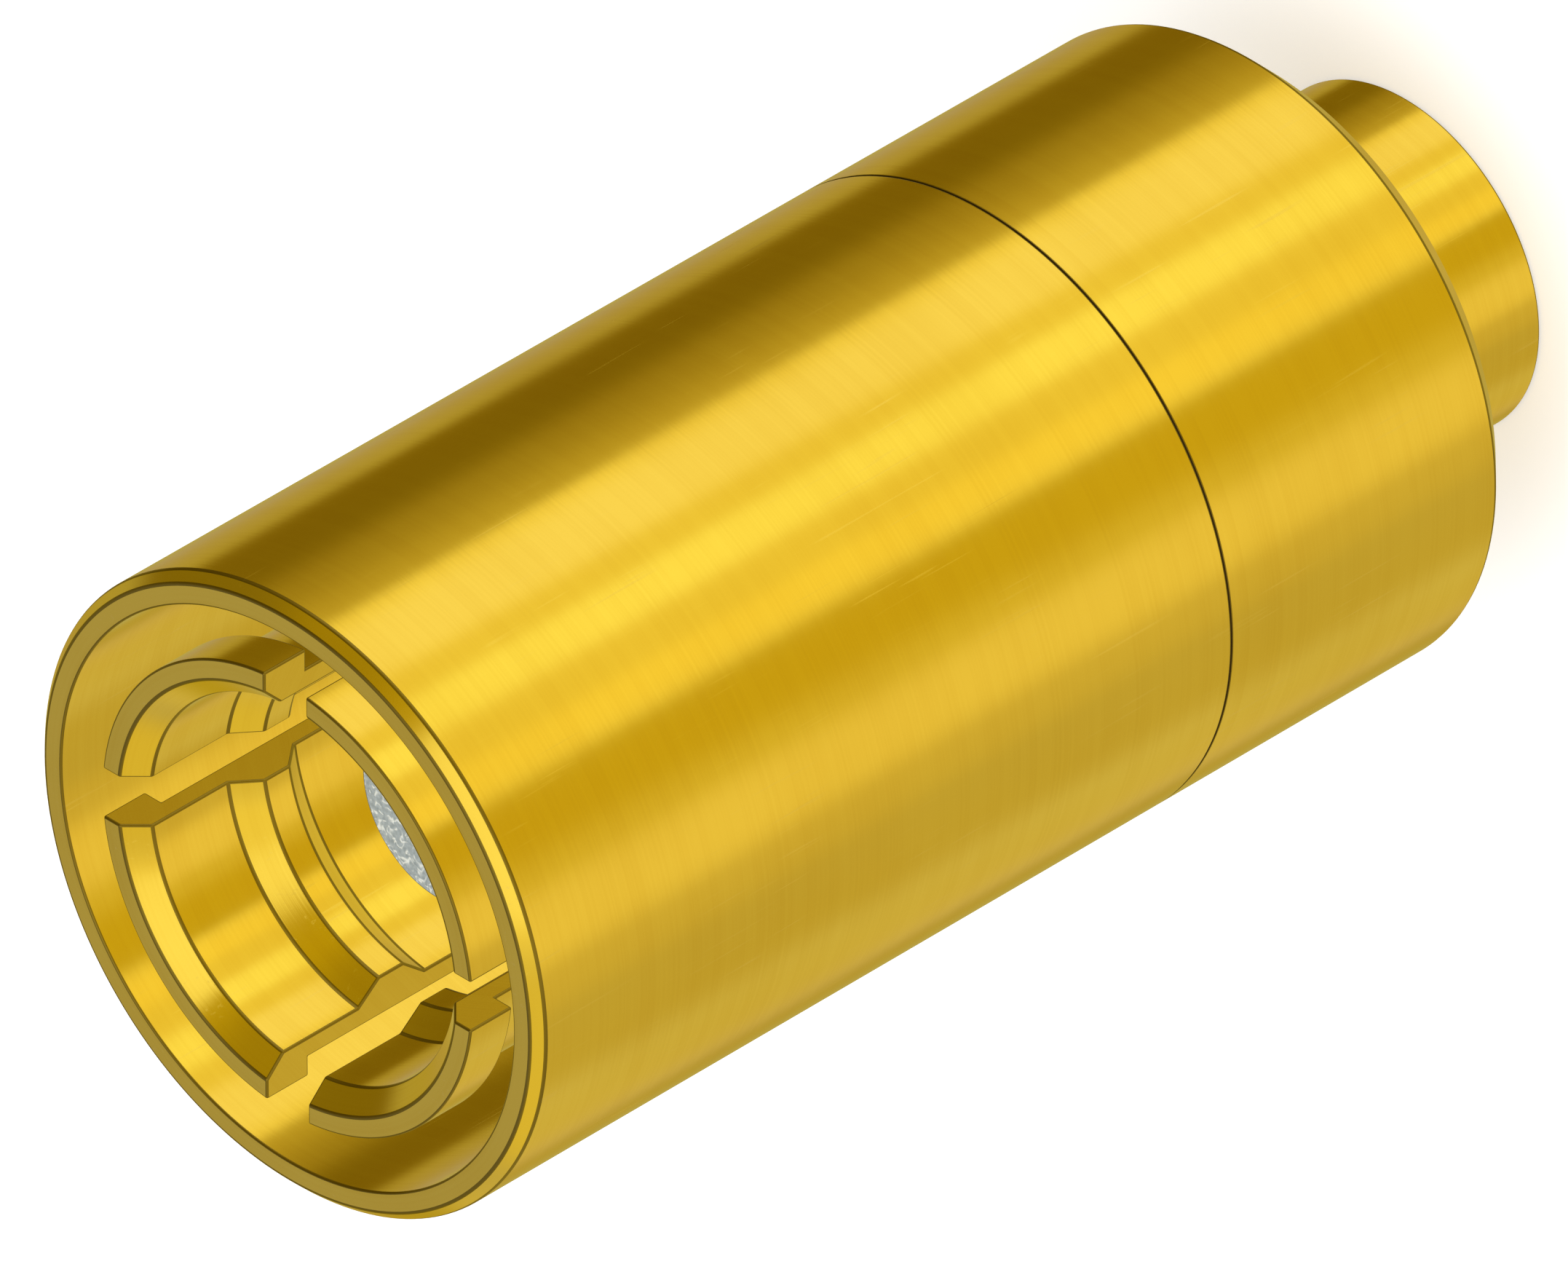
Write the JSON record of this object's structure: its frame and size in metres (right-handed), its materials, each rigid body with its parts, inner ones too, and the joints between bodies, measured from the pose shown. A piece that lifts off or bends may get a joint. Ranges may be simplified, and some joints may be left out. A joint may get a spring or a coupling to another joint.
{
  "type": "smb connector",
  "caption": "Straight push-on coaxial plug: plain outer sleeve round a slotted spring collet, insulated socket contact, and a rear tube for semi-rigid cable.",
  "frame": {"origin": "centre of the bottom edge of the cable tube, on the plug's axis", "axes": "+Z along the plug's axis from the cable tube to the mating face, +X and +Y through the slots of the spring collet"},
  "size_m": [0.006, 0.006, 0.0136],
  "materials": {
    "plated_shell": "polished gold plate over turned brass",
    "plated_spring": "gold plate over sawn and turned spring alloy",
    "plated_contact": "bright gold plate",
    "insulator": "crinkled, pale grey with white veins"
  },
  "bodies": {
    "root": {"outer_shell": "plated_shell", "rear_body": "plated_shell", "spring_collet": "plated_spring", "socket_contact": "plated_contact", "front_insulator": "insulator", "rear_insulator": "insulator"}
  },
  "joints": []
}
